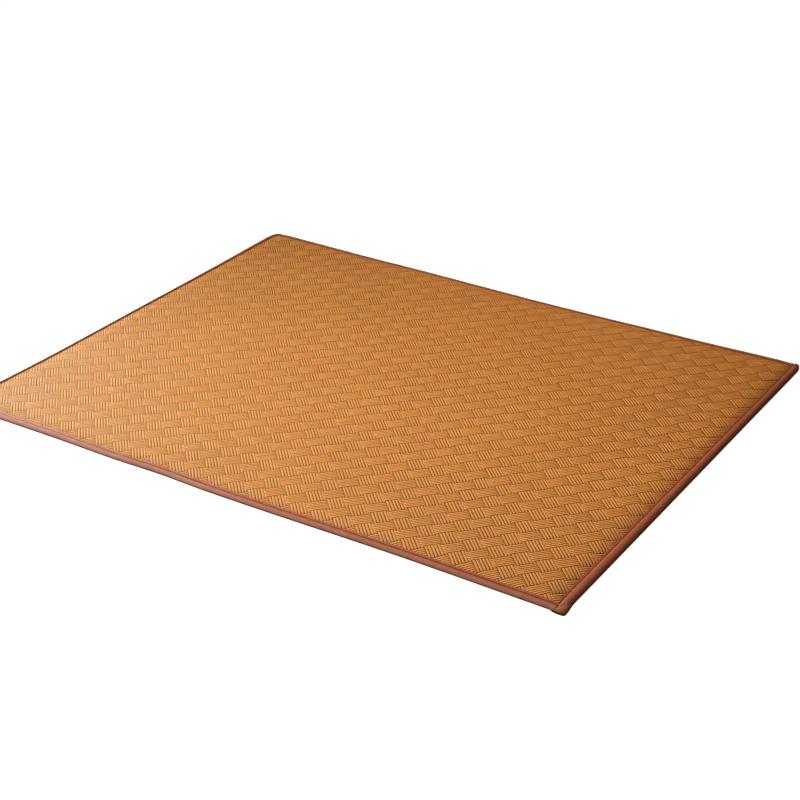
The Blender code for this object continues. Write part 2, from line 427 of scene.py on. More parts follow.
def make_ground_material():
    """On top only the painted shade of the gaps, in dark brown; underneath the same plait as a pattern,
    its low parts in painted shade.
    """
    material, tree, shader = new_material("rattan in the gaps")
    where = add_node(tree, "ShaderNodeTexCoord")
    turned = add_node(tree, "ShaderNodeMapping", inputs={
        "Vector": where.outputs["Object"], "Rotation": (0.0, 0.0, math.radians(45.0))})
    ridges = add_bands(tree, turned.outputs["Vector"], "X", RIDGE_SCALE, 0.3)
    crossing = add_bands(tree, turned.outputs["Vector"], "Y", RIDGE_SCALE, 0.3)
    blocks = add_node(tree, "ShaderNodeTexChecker", inputs={
        "Vector": turned.outputs["Vector"], "Scale": 1.0 / (BLOCK * STRAND_PITCH)})
    height = add_mix(tree, blocks.outputs["Fac"], ridges.outputs["Color"], crossing.outputs["Color"])
    under = add_ramp(tree, height, ((0.15, PAINTED_GAP_SHADES[1]), (0.6, RATTAN_MID)))
    normal = add_node(tree, "ShaderNodeNewGeometry")
    facing = add_node(tree, "ShaderNodeSeparateXYZ", inputs={"Vector": normal.outputs["Normal"]})
    below = add_node(tree, "ShaderNodeMath", {"operation": "LESS_THAN"}, {
        0: facing.outputs["Z"], 1: -0.2})
    colour = add_mix(tree, below.outputs["Value"], add_painted_light_gradient(tree, where, PAINTED_GAP_SHADES), under)
    tree.links.new(colour, shader.inputs["Base Color"])
    bump = add_node(tree, "ShaderNodeBump", inputs={
        "Height": height, "Strength": 0.6, "Distance": 0.001})
    tree.links.new(bump.outputs["Normal"], shader.inputs["Normal"])
    shader.inputs["Roughness"].default_value = 0.8
    shader.inputs["Specular IOR Level"].default_value = 0.1
    return material


ground_material = make_ground_material()

# %% Binding tape and thread
# Waves for each metre that give the cloth's threads.
CLOTH_SCALE = 520.0
TAPE_DARK = (0.315, 0.080, 0.033)
TAPE_LIGHT = (0.405, 0.116, 0.053)
# Colour of the painted shade on the tape.
PAINTED_SEAM_SHADE_COLOUR = (0.075, 0.014, 0.005)
THREAD_COLOUR = (0.110, 0.026, 0.014)


def make_tape_material():
    material, tree, shader = new_material("terracotta tape")
    where = add_node(tree, "ShaderNodeTexCoord")
    patches = add_node(tree, "ShaderNodeTexNoise", inputs={
        "Vector": where.outputs["Object"], "Scale": 55.0, "Detail": 5.0, "Roughness": 0.6})
    colour = add_ramp(tree, patches.outputs["Fac"], ((0.28, TAPE_DARK), (0.72, TAPE_LIGHT)))
    warp = add_bands(tree, where.outputs["UV"], "X", CLOTH_SCALE, 0.6)
    weft = add_bands(tree, where.outputs["UV"], "Y", CLOTH_SCALE, 0.6)
    threads = add_node(tree, "ShaderNodeMath", {"operation": "MULTIPLY"}, {
        0: warp.outputs["Fac"], 1: weft.outputs["Fac"]})
    shade = add_ramp(tree, threads.outputs["Value"], (
        (0.0, (0.86, 0.84, 0.82)), (0.6, (1.05, 1.05, 1.05))))
    colour = add_tint(tree, colour, shade)
    # Painted shade on the tape: in the seam's channel, near the bottom, underneath and at the joints.
    painted_seam_shade = add_node(tree, "ShaderNodeAttribute", {"attribute_name": "painted_seam_shade"})
    colour = add_mix(tree, painted_seam_shade.outputs["Fac"], colour, (*PAINTED_SEAM_SHADE_COLOUR, 1.0))
    tree.links.new(colour, shader.inputs["Base Color"])
    bump = add_node(tree, "ShaderNodeBump", inputs={
        "Height": threads.outputs["Value"], "Strength": 0.3, "Distance": 0.0002})
    tree.links.new(bump.outputs["Normal"], shader.inputs["Normal"])
    shader.inputs["Roughness"].default_value = 0.50
    shader.inputs["Specular IOR Level"].default_value = 0.28
    shader.inputs["Sheen Weight"].default_value = 0.12
    shader.inputs["Sheen Roughness"].default_value = 0.35
    shader.inputs["Sheen Tint"].default_value = (1.0, 0.50, 0.30, 1.0)
    return material


def make_thread_material():
    material, tree, shader = new_material("sewing thread")
    where = add_node(tree, "ShaderNodeTexCoord")
    twist = add_bands(tree, where.outputs["Object"], "DIAGONAL", 900.0)
    colour = add_ramp(tree, twist.outputs["Fac"], (
        (0.0, tuple(0.7 * c for c in THREAD_COLOUR)), (1.0, THREAD_COLOUR)))
    tree.links.new(colour, shader.inputs["Base Color"])
    shader.inputs["Roughness"].default_value = 0.8
    shader.inputs["Specular IOR Level"].default_value = 0.1
    return material


tape_material = make_tape_material()
thread_material = make_thread_material()
print("materials", [m.name for m in bpy.data.materials])

# %% [markdown]
# ## The ground under the strands
#
# Under the strands that show lie the others, crossing below them. Nobody sees those, apart from the
# dark in the gaps, so one closed sheet stands for them, its top painted with the shade in the gaps: a
# grid that follows the face a little below the strands' backs, extruded down to the surface that the
# mat lies on.

# %% Woven ground
# How far the ground lies under the face, and the height and reach of its edge inside a tape.
GROUND_DEPTH = 0.0010
TAPE_INSIDE = 0.0019
HEEL = 0.006
# Distances of the grid's lines from a tape's free edge, and the step between lines further in.
CROWN_LINES = np.array([-0.006, 0.0, 0.005, 0.011, 0.019, 0.029, 0.040, 0.052])
MIDDLE_STEP = 0.02
# The right tape's width halfway along, and the place and reach in which the lines lean with it.
RIGHT_WIDTH = 0.032
LEAN_START = 0.9
LEAN_REACH = 0.05
# More than the face's height, so that every lower point starts below the floor.
SHEET_DROP = 0.030


def ground_places(extent, low_width, high_width):
    """Grid lines across the mat: close together on the crown, further apart in the middle."""
    low = -extent / 2.0 + low_width + CROWN_LINES
    high = (extent / 2.0 - high_width - CROWN_LINES)[::-1]
    middle = np.linspace(low[-1], high[0], round(extent / MIDDLE_STEP))[1:-1]
    return np.concatenate([low, middle, high])


def make_ground():
    rows = ground_places(WIDTH, TAPES["front"][0], TAPES["back"][0])
    columns = ground_places(LENGTH, TAPES["left"][0], RIGHT_WIDTH)
    piece, column, row = add_grid("woven_ground", len(columns), len(rows))
    y = rows[row]
    x = columns[column]
    # The right tape narrows towards the back, so the lines beside it lean with it.
    narrower = RIGHT_WIDTH - tape_width("right", y / WIDTH + 0.5)
    x = x + narrower * smoothstep((x - LEAN_START) / LEAN_REACH)
    top = face_height(x, y) - GROUND_DEPTH
    write_points(piece.data, np.stack([x, y, top], axis=1))
    in_edit_mode(piece, lambda: bpy.ops.mesh.extrude_region_move(
        TRANSFORM_OT_translate={"value": (0.0, 0.0, -SHEET_DROP)}))
    points = read_points(piece.data)
    low = points[:, 2] < 0.0
    distance = np.min(list(past_tape(points[:, 0], points[:, 1]).values()), axis=0)
    points[low, 2] = TAPE_INSIDE * (1.0 - smoothstep(distance[low] / HEEL))
    points[:, 0], points[:, 1] = settle(points[:, 0], points[:, 1])
    write_points(piece.data, points)
    face_outwards(piece)
    bpy.ops.object.shade_smooth_by_angle(angle=math.radians(50.0))
    finish_piece(piece, ground_material)
    return piece


ground = make_ground()
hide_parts("mat_body")

# %% [markdown]
# ## The plait
#
# The pattern is a basket weave in blocks: five strands lie side by side over seven crossings, then
# dive under five. Between two blocks one strand stays hidden, apart from a small spot at each corner.
# Modelling whole strands that go up and down would spend most of its faces where nobody looks. So we
# model one float, the stretch of strand between two dives, and lay copies of it on the chart.

# %% One float of a strand
FLOAT_CROSSINGS = 7
# How far a float runs past its crossings, and a spot's length in pitches. The cuts are the
# distances of their cross sections from the middle.
FLOAT_OVERRUN = 0.0020
FLOAT_CUTS = (0.0105, 0.0255)
SPOT_PITCHES = 1.25
SPOT_CUTS = (0.0022,)
# Half the width of a strand at its foot and at its top, its depth, and how far its ends bend down.
STRAND_HALF = 0.00385
SHOULDER_HALF = 0.0026
STRAND_DROP = 0.0008
END_DROP = 0.0012
# How dark the painted shade on a strand's end is on top, where 1 is its foot.
END_SHADE = 0.9


def model_float(name, length, shoulder_at):
    """One float: a cube cut into lengths, its top narrowed to shoulders and its ends bent down."""
    nothing_selected()
    bpy.ops.mesh.primitive_cube_add(size=1.0)
    piece = bpy.context.object
    piece.name = name
    piece.scale = (2.0 * STRAND_HALF, length, STRAND_DROP)
    bpy.ops.object.transform_apply(location=False, rotation=False, scale=True)
    bpy.ops.object.mode_set(mode="EDIT")
    for place in shoulder_at:
        for sign in (-1.0, 1.0):
            bpy.ops.mesh.select_all(action="SELECT")
            bpy.ops.mesh.bisect(plane_co=(0.0, sign * place, 0.0), plane_no=(0.0, 1.0, 0.0))
    bpy.ops.mesh.select_all(action="SELECT")
    bpy.ops.transform.translate(value=(0.0, 0.0, -STRAND_DROP / 2.0))
    bpy.ops.object.mode_set(mode="OBJECT")
    points = read_points(piece.data)
    top = points[:, 2] > -STRAND_DROP / 2.0
    points[top, 0] *= SHOULDER_HALF / STRAND_HALF
    ends = np.abs(points[:, 1]) > length / 2.0 - 0.0005
    points[ends, 2] -= END_DROP
    write_points(piece.data, points)
    # A mask for painted shade: none on top, full at the foot, END_SHADE on the ends.
    write_attribute(piece.data, "painted_foot_shade", np.where(top, np.where(ends, END_SHADE, 0.0), 1.0))
    return piece


long_float = model_float("float", FLOAT_CROSSINGS * STRAND_PITCH + FLOAT_OVERRUN, FLOAT_CUTS)
spot_float = model_float("spot", STRAND_PITCH * SPOT_PITCHES, SPOT_CUTS)
print("faces of one float and one spot", len(long_float.data.polygons), len(spot_float.data.polygons))

# %% [markdown]
# The weave doesn't run quite straight: the rows sag towards the front in the middle of the mat by
# about 30 mm, as they do when a soft mat is sewn into its binding. `sagged` gives that as a smooth
# curve with a few terms. The chart is set out in strand numbers, turned by 45 degrees, sagged, and
# brought back to the plain rectangle. There straight cuts with bisect trim the strands under the
# tape, and at last everything settles into the outline and onto the crown.

# %% The chart
# Terms of the sag in millimetres, where x and y are in metres: "xy" is x times y.
SAG_X = (("", -9.7), ("x", -3.4), ("y", -7.9), ("xx", -8.4), ("xy", -6.4), ("yyy", 24.5))
SAG_Y = (
    ("", -24.4), ("xx", 46.2), ("xy", -10.2), ("yy", -19.0), ("xxx", 4.7), ("xxy", 7.4), ("yyy", -14.4))


def sag(terms, x, y):
    return sum(size * x ** term.count("x") * y ** term.count("y") for term, size in terms)


def sagged(flat_x, flat_y):
    """Where a point of the straight chart lies in the mat. The sag is that of its final place."""
    x, y = flat_x, flat_y
    for _ in range(3):
        moves = sag(SAG_X, x, y), sag(SAG_Y, x, y)
        x, y = flat_x + moves[0] / MILLIMETRES, flat_y + moves[1] / MILLIMETRES
    return x, y


def charted_places():
    """The two strand numbers of the middle of every float and every spot."""
    diagonal = (LENGTH + WIDTH) / 2.0 / math.sqrt(2.0)
    reach = BLOCK * (math.ceil(diagonal / STRAND_PITCH / BLOCK) + 2)
    down, across, spots = [], [], []
    for block_i in range(-reach, reach, BLOCK):
        for block_j in range(-reach, reach, BLOCK):
            same = (block_i // BLOCK + block_j // BLOCK) % 2 == 0
            spots.append((block_i, block_j))
            for step in range(1, BLOCK):
                if same:
                    down.append((block_i + step, block_j + BLOCK / 2))
                else:
                    across.append((block_i + BLOCK / 2, block_j + step))
    return np.array(down, float), np.array(across, float), np.array(spots, float)


down_places, across_places, spot_places = charted_places()
print("charted floats before trimming", len(down_places), len(across_places), len(spot_places))

# %% Laying the floats
DOWN = np.array([1.0, -1.0]) / math.sqrt(2.0)
ACROSS = np.array([1.0, 1.0]) / math.sqrt(2.0)
# How far the strands run on under a tape, and past the rectangle on the chart, in X and Y.
SEAM_LAP = 0.005
CHART_MARGIN = (0.06, 0.09)
# Uneven height and place of the floats, in metres.
UNEVEN_LIFT = 0.00008
UNEVEN_PLACE = 0.00012
# A strand's tone is made of its own and of each float's. A strand that runs across is painted paler, as
# painted light, and its foot holds less of the painted shade; the last two numbers give how much.
STRAND_TONES = 4000
OWN_TONE = 0.65
FLOAT_TONE = 0.35
ACROSS_PAINTED_LIGHT = 0.9
ACROSS_PAINTED_SHADE_SHARE = 0.25
# Steps on the UV map from float to float, so that no two have the same fibres.
FIBRE_STEP = (0.013, 0.17)
# Painted shade beside a tape: how deep it is, how far from the tape it starts to fade, and how soon.
PAINTED_RIM_SHADES = {"right": (0.8, 0.0, 0.010), "front": (0.6, 0.003, 0.004)}


def strand_tone(numbers, pieces, seed):
    """A strand keeps its own tone all along, and each float adds a little to it."""
    draws = np.random.default_rng(seed)
    own = draws.random(STRAND_TONES)[numbers.astype(int) % STRAND_TONES]
    return np.clip(OWN_TONE * own + FLOAT_TONE * draws.random(pieces), 0.0, 1.0)


def painted_rim_shade(points):
    """Painted shade: the strands darken beside the tapes, most of all in the groove beside the right
    one.
    """
    past = past_tape(points[:, 0], points[:, 1])
    return np.max([
        depth * np.exp(-np.maximum(past[side] - start, 0.0) / fade)
        for side, (depth, start, fade) in PAINTED_RIM_SHADES.items()], axis=0)


def place_floats(shape, places, is_down, seed):
    """Points of every float that lies in the mat, a row for each, and the floats' strand numbers."""
    along, side = (DOWN, ACROSS) if is_down else (ACROSS, DOWN)
    steps = places - BLOCK / 2
    centre = (steps[:, :1] * ACROSS + steps[:, 1:] * DOWN) * STRAND_PITCH
    near = ((np.abs(centre[:, 0]) < LENGTH / 2.0 + CHART_MARGIN[0])
            & (np.abs(centre[:, 1]) < WIDTH / 2.0 + CHART_MARGIN[1]))
    centre, kept = centre[near], places[near]
    draws = np.random.default_rng(seed)
    lift = draws.normal(0.0, UNEVEN_LIFT, len(centre))
    shift = draws.normal(0.0, UNEVEN_PLACE, len(centre))
    sideways = (shape[None, :, 0] + shift[:, None])[..., None]
    plan = centre[:, None, :] + shape[None, :, 1, None] * along + sideways * side
    x, y = unsettle(*sagged(plan[..., 0], plan[..., 1]))
    past = past_tape(x, y).values()
    inside = np.min([distance.max(axis=1) for distance in past], axis=0) > -SEAM_LAP
    z = shape[None, :, 2] + lift[inside][:, None]
    return x[inside], y[inside], z, kept[inside]


def lay_floats(name, model, places, is_down, seed):
    """Copies of one float at its places on the chart, joined in one mesh, trimmed and settled."""
    shape = read_points(model.data)
    x, y, z, kept = place_floats(shape, places, is_down, seed)
    count, size = x.shape
    piece = add_copies(name, [list(face.vertices) for face in model.data.polygons], x, y, z)
    mesh = piece.data
    # The strands that run across are painted paler and hold less painted shade at their foot, as
    # painted light.
    tone = strand_tone(kept[:, 0 if is_down else 1], count, seed + 1)
    write_attribute(mesh, "tone", np.repeat(tone + (0.0 if is_down else ACROSS_PAINTED_LIGHT), size))
    # The mask for painted shade, of which the strands across hold less.
    painted_foot_shade = np.empty(size, np.float32)
    model.data.attributes["painted_foot_shade"].data.foreach_get("value", painted_foot_shade)
    write_attribute(mesh, "painted_foot_shade", np.tile(painted_foot_shade * (1.0 if is_down else ACROSS_PAINTED_SHADE_SHARE), count))
    numbers = corner_points(mesh)
    number, corner = numbers // size, numbers % size
    uv = np.stack([
        shape[corner, 0] + number * FIBRE_STEP[0], shape[corner, 1] + number * FIBRE_STEP[1]], axis=1)
    mesh.uv_layers.new(name="fibres").data.foreach_set("uv", uv.astype(np.float32).ravel())
    trim_to_tapes(piece)
    points = read_points(mesh)
    height = face_height(points[:, 0], points[:, 1]) + points[:, 2]
    # Painted shade beside the tapes.
    write_attribute(mesh, "rim", painted_rim_shade(points))
    settled_x, settled_y = settle(points[:, 0], points[:, 1])
    write_points(mesh, np.stack([settled_x, settled_y, height], axis=1))
    face_outwards(piece)
    bpy.ops.object.shade_smooth()
    finish_piece(piece, down_rattan if is_down else across_rattan)
    return piece


def trim_to_tapes(piece):
    """Cuts the strands off a little way under each tape, and closes the cut ends."""
    right_start = np.array([LENGTH / 2.0 - TAPES["right"][0] + SEAM_LAP, -WIDTH / 2.0, 0.0])
    right_end = np.array([LENGTH / 2.0 - TAPES["right"][1] + SEAM_LAP, WIDTH / 2.0, 0.0])
    run = right_end - right_start
    cuts = (
        ((0.0, -WIDTH / 2.0 + TAPES["front"][0] - SEAM_LAP, 0.0), (0.0, -1.0, 0.0)),
        ((0.0, WIDTH / 2.0 - TAPES["back"][0] + SEAM_LAP, 0.0), (0.0, 1.0, 0.0)),
        ((-LENGTH / 2.0 + TAPES["left"][0] - SEAM_LAP, 0.0, 0.0), (-1.0, 0.0, 0.0)),
        (tuple(right_start), (run[1], -run[0], 0.0)),
    )
    only(piece)
    bpy.ops.object.mode_set(mode="EDIT")
    for place, outwards in cuts:
        bpy.ops.mesh.select_all(action="SELECT")
        bpy.ops.mesh.bisect(plane_co=place, plane_no=outwards, use_fill=True, clear_outer=True)
    bpy.ops.object.mode_set(mode="OBJECT")


down_strands = lay_floats("strands_down", long_float, down_places, True, 11)
across_strands = lay_floats("strands_across", long_float, across_places, False, 23)
corner_spots = lay_floats("strand_spots", spot_float, spot_places, True, 37)
for model in (long_float, spot_float):
    bpy.data.objects.remove(model, do_unlink=True)

# %% [markdown]
# ## The binding tape
#
# Each tape is a strip of cloth folded round the raw edge and sewn through. On the face it first lies
# flat beside the seam, then rises into a roll. We start with a flat strip, a grid primitive with as
# many columns as the tape has sections, and fold it: each row of the strip goes to its place round
# the roll. Solidify then gives the cloth its thickness. The two short tapes run the whole way to the
# corners, where their ends are folded in. The long ones stop at the left tape's edge and at the side
# of the right one's roll.

# %% Section of a tape
# Each point of a section: share of the tape's width from its outermost point, share of the roll's
# height, painted shade, strongest in the seam's channel and underneath. A section starts at the free
# edge on the face.
SEAM_CHANNEL = (
    (1.00, 0.550, 0.30), (0.955, 0.553, 0.15), (0.91, 0.556, 0.25),
    (0.86, 0.560, 1.00), (0.78, 0.620, 1.00),
)
ROUND_ROLL = (
    (0.74, 0.770, 0.30), (0.70, 0.870, 0.0), (0.63, 0.945, 0.0), (0.54, 0.990, 0.0),
    (0.45, 1.000, 0.0), (0.36, 0.985, 0.0), (0.27, 0.935, 0.0), (0.185, 0.860, 0.0),
    (0.11, 0.750, 0.0), (0.045, 0.600, 0.0),
)
FRONT_BAND = (
    (1.00, 0.725, 0.25), (0.93, 0.735, 0.10), (0.83, 0.745, 0.05), (0.75, 0.750, 0.20),
    (0.695, 0.755, 1.00), (0.645, 0.765, 1.00), (0.60, 0.790, 0.20), (0.54, 0.820, 0.0),
    (0.48, 0.835, 0.0), (0.42, 0.835, 0.0), (0.36, 0.815, 0.0), (0.28, 0.760, 0.0),
    (0.20, 0.680, 0.0), (0.12, 0.570, 0.10), (0.05, 0.440, 0.40),
)
LOW_SEAM = (
    (1.00, 0.800, 0.10), (0.96, 0.800, 0.15), (0.92, 0.810, 0.15), (0.88, 0.845, 0.10),
    (0.83, 0.890, 0.0), (0.77, 0.925, 0.0), (0.70, 0.955, 0.0), (0.62, 0.980, 0.0),
    (0.53, 0.995, 0.0), (0.44, 1.000, 0.0), (0.35, 0.985, 0.0), (0.26, 0.940, 0.0),
    (0.18, 0.865, 0.0), (0.11, 0.755, 0.0), (0.05, 0.610, 0.0),
)
UNDERSIDE = (
    (0.005, 0.400, 0.50), (0.00, 0.310, 0.80), (0.015, 0.200, 0.90), (0.05, 0.100, 1.00),
    (0.11, 0.030, 1.00), (0.20, 0.005, 0.50), (0.36, 0.0, 0.0), (0.60, 0.0, 0.0),
    (0.85, 0.0, 0.0), (1.00, 0.0, 0.0),
)
SECTIONS = {
    "front": FRONT_BAND + UNDERSIDE,
    "back": LOW_SEAM + UNDERSIDE,
    "left": LOW_SEAM + UNDERSIDE,
    "right": SEAM_CHANNEL + ROUND_ROLL + UNDERSIDE,
}
# Every section has this many rows on the face, and the right one's flap has the first four, with its
# seam in the last of them.
FIRST_UNDER = len(FRONT_BAND)
FLAP_ROWS = 4
SEAM_ROW = 3
# Thickness of the cloth, its least height over the weave, the share of a tape's width from which
# it lies on the weave, and the usual width of a tape.
TAPE_CLOTH = 0.0012
LEAST_LIFT = 0.0013
ON_WEAVE = 0.6
USUAL_WIDTH = 0.025
# Sections every 6 mm, and closer together where a folded end rounds down.
SECTION_STEP = 0.006
END_SECTIONS = np.array([
    0.0007, 0.0018, 0.0035, 0.0050, 0.0085, 0.0110, 0.0145, 0.0170, 0.0205, 0.0270])


def section_places(start, end, folded):
    count = round((end - start) / SECTION_STEP)
    places = np.linspace(start, end, count + 1)
    if folded:
        places = np.unique(np.concatenate([places, start + END_SECTIONS, end - END_SECTIONS]))
    return places


def side_plan(side):
    """Whether a side runs along Y, its length, and the place of its outermost line with its sign."""
    runs_along_y = side in ("left", "right")
    extent, across = (WIDTH, LENGTH) if runs_along_y else (LENGTH, WIDTH)
    return runs_along_y, extent, across / 2.0, 1.0 if side in ("right", "back") else -1.0


def full_width(side, share):
    return tape_width(side, share) + eased(WIDENED[side], share) / MILLIMETRES


# Seed of the swelling of each tape.
WAVE_SEEDS = {"left": 3, "right": 5, "front": 7, "back": 9}


def waves(at, side, lengths, size):
    """A slow irregular wave made of a few sines with drawn phases."""
    draws = random.Random(WAVE_SEEDS[side])
    total = np.zeros_like(at)
    for length in lengths:
        total = total + np.sin(2.0 * math.pi * (at / length + draws.random())) * draws.uniform(0.5, 1.0)
    return total * size / len(lengths)


def end_limit(place, extent, height):
    """The greatest height near a folded end, which rounds down like the roll of the side it meets."""
    limit = np.full_like(place, height)
    crest = max(range(FIRST_UNDER), key=lambda index: SECTIONS["right"][index][1])
    rounding = SECTIONS["right"][crest:FIRST_UNDER + 1]
    for neighbour, distance in (("front", place + extent / 2.0), ("back", extent / 2.0 - place)):
        width = tape_width(neighbour, 0.5)
        roll = sorted((across * width, up * height) for across, up, _ in rounding)
        drop = np.interp(distance, [across for across, _ in roll], [up for _, up in roll])
        limit = np.minimum(limit, drop)
    return limit


# The creases' middle, inwards from the right tape's free edge and from the front, in metres. Then
# their depth, how far they reach, where they start, and how many there are to a radian.
PINCH_AT = (0.003, 0.007)
PINCH_DEPTH = 0.22
PINCH_REACH = 0.026
PINCH_START = 0.008
PINCH_FOLDS = 6.5
PINCH_PHASE = 0.6


def pinched(x, y, row):
    """Creases that run out from where the right tape's front end is sewn down."""
    away_x = x - (LENGTH / 2.0 - TAPES["right"][0] + PINCH_AT[0])
    away_y = y + WIDTH / 2.0 - PINCH_AT[1]
    distance = np.hypot(away_x, away_y)
    fan = np.sin(PINCH_FOLDS * np.arctan2(away_y, away_x) + PINCH_PHASE)
    depth = PINCH_DEPTH * np.exp(-distance / PINCH_REACH) * smoothstep(distance / PINCH_START)
    return 1.0 + np.where(row < FIRST_UNDER, (fan - 1.0) * depth, 0.0)


# Lengths and size of the slow swelling along a tape, and the share of height above which it acts.
SWELL_LENGTHS = (0.31, 0.117, 0.053)
SWELL = 0.035
SWELL_ABOVE = 0.3
# Beside the long tapes the right one's flap is flush with them: its height there, how far from the
# corner that ends and fades, and the folded end that keeps its own height.
FLUSH_HEIGHT = 0.0090
FLUSH_END = 0.020
FLUSH_FADE = 0.010
FOLDED_END = 0.004
# How far from its end a long tape is darkened with painted shade where it is sewn to the right one's
# roll.
JOINT_REACH = 0.005


def tape_points(side, piece, along, row, end, folded):
    """Places of a tape's points, after the cloth is folded round the edge."""
    runs_along_y, extent, outermost, sign = side_plan(side)
    height = TAPES[side][2]
    # The third column of a section is its painted shade.
    across, up, dark = np.array(SECTIONS[side])[row].T
    share = along / extent + 0.5
    swell = 1.0 + waves(along, side, SWELL_LENGTHS, SWELL)
    level = np.minimum(up * height * np.where(up > SWELL_ABOVE, swell, 1.0), height)
    if folded:
        limit = end_limit(along, extent, height)
        level = np.where(row <= FIRST_UNDER, np.minimum(level, limit), level)
        from_end = extent / 2.0 - np.abs(along)
        butted = 1.0 - smoothstep((from_end - FLUSH_END) / FLUSH_FADE)
        flap = (row < FLAP_ROWS) & (from_end > FOLDED_END)
        level = np.where(flap, np.maximum(level, butted * FLUSH_HEIGHT), level)
        # There the painted shade of the seam is no more than a line.
        dark = dark * np.where(row == SEAM_ROW, 1.0, 1.0 - 0.8 * butted)
    else:
        dark = np.maximum(dark, smoothstep(1.0 - (end - along) / JOINT_REACH))
    write_attribute(piece.data, "painted_seam_shade", dark)
    away = sign * (outermost - across * full_width(side, share))
    x, y = (away, along) if runs_along_y else (along, away)
    over_weave = (row < FIRST_UNDER) & (across > ON_WEAVE)
    level = np.where(over_weave, np.maximum(level, face_height(x, y) + LEAST_LIFT), level)
    if side == "right":
        level = level * pinched(x, y, row)
    x, y = settle(x, y)
    return np.stack([x, y, level], axis=1)


def make_tape(side, start, end, folded):
    places = section_places(start, end, folded)
    section = np.array(SECTIONS[side])
    piece, column, row = add_grid("binding_" + side + "_tape", len(places), len(section))
    along = places[column]
    write_points(piece.data, tape_points(side, piece, along, row, end, folded))
    steps = np.hypot(np.diff(section[:, 0]) * USUAL_WIDTH, np.diff(section[:, 1]) * TAPES[side][2])
    girth = np.concatenate([[0.0], np.cumsum(steps)])
    numbers = corner_points(piece.data)
    uv = np.stack([along[numbers], girth[row[numbers]]], axis=1)
    piece.data.uv_layers[0].data.foreach_set("uv", uv.astype(np.float32).ravel())
    if folded:
        close_ends(piece, places[0], places[-1])
    face_outwards(piece)
    highest = max(piece.data.polygons, key=lambda face: face.center.z)
    if highest.normal.z < 0.0:
        in_edit_mode(piece, bpy.ops.mesh.flip_normals)
    cloth = piece.modifiers.new("cloth", "SOLIDIFY")
    cloth.thickness = TAPE_CLOTH
    cloth.offset = -1.0
    cloth.use_even_offset = True
    only(piece)
    bpy.ops.object.modifier_apply(modifier="cloth")
    bpy.ops.object.shade_smooth_by_angle(angle=math.radians(60.0))
    finish_piece(piece, tape_material)
    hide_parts("binding_" + side)
    return piece


# How near to an end of the strip a point counts as lying on it.
AT_END = 0.0003


def close_ends(piece, first, last):
    """Fills the open section at both ends of a folded strip."""
    for place in (first, last):
        only(piece)
        bpy.ops.object.mode_set(mode="EDIT")
        bpy.ops.mesh.select_mode(type="EDGE")
        bpy.ops.mesh.select_all(action="DESELECT")
        bpy.ops.object.mode_set(mode="OBJECT")
        ends = {
            vert.index for vert in piece.data.vertices
            if abs(unsettle(vert.co.x, vert.co.y)[1] - place) < AT_END}
        for edge in piece.data.edges:
            edge.select = edge.vertices[0] in ends and edge.vertices[1] in ends
        bpy.ops.object.mode_set(mode="EDIT")
        bpy.ops.mesh.edge_face_add()
        bpy.ops.object.mode_set(mode="OBJECT")


BUTT_GAP = 0.0008
# The long tapes run over the right tape's flap, which is the inner quarter of its width.
ROLL_SHARE = 0.75
front_start = -LENGTH / 2.0 + TAPES["left"][0] + BUTT_GAP
back_start = front_start + WIDENED["left"][-1][1] / MILLIMETRES
left_tape = make_tape("left", -WIDTH / 2.0, WIDTH / 2.0, True)
right_tape = make_tape("right", -WIDTH / 2.0, WIDTH / 2.0, True)
front_tape = make_tape(
    "front", front_start, LENGTH / 2.0 - ROLL_SHARE * TAPES["right"][0], False)
back_tape = make_tape(
    "back", back_start, LENGTH / 2.0 - ROLL_SHARE * TAPES["right"][1], False)

# %% [markdown]
# ## The seam
#
# A row of lockstitches runs along the free edge of every tape. From above, each stitch is a short
# dark bead of thread that sinks into the cloth at both ends. One stitch is modelled and copied.

# %% Stitches
# Length of a stitch, distance to the next and the thread's radius; how far a stitch's ends sink in
# and narrow; how unevenly it is placed and how high it lies on the cloth.
STITCH = 0.0042
STITCH_STEP = 0.0062
THREAD = 0.0007
END_SINK = 0.0009
END_NARROWING = 0.6
STITCH_UNEVEN = 0.0002
STITCH_LIFT = 0.0002
# Distance of each row of stitches from its tape's free edge.
STITCH_INSETS = {"front": 0.0086, "back": 0.0016, "left": 0.0016, "right": 0.0050}


def model_stitch():
    nothing_selected()
    bpy.ops.mesh.primitive_cylinder_add(
        vertices=6, radius=THREAD, depth=STITCH, rotation=(0.0, math.pi / 2.0, 0.0))
    piece = bpy.context.object
    bpy.ops.object.transform_apply(location=False, rotation=True, scale=False)
    bpy.ops.object.mode_set(mode="EDIT")
    for place in (-STITCH / 4.0, STITCH / 4.0):
        bpy.ops.mesh.select_all(action="SELECT")
        bpy.ops.mesh.bisect(plane_co=(place, 0.0, 0.0), plane_no=(1.0, 0.0, 0.0))
    bpy.ops.object.mode_set(mode="OBJECT")
    points = read_points(piece.data)
    ends = np.abs(points[:, 0]) > STITCH * 0.4
    points[ends, 2] -= END_SINK
    points[ends, 1] *= END_NARROWING
    write_points(piece.data, points)
    return piece


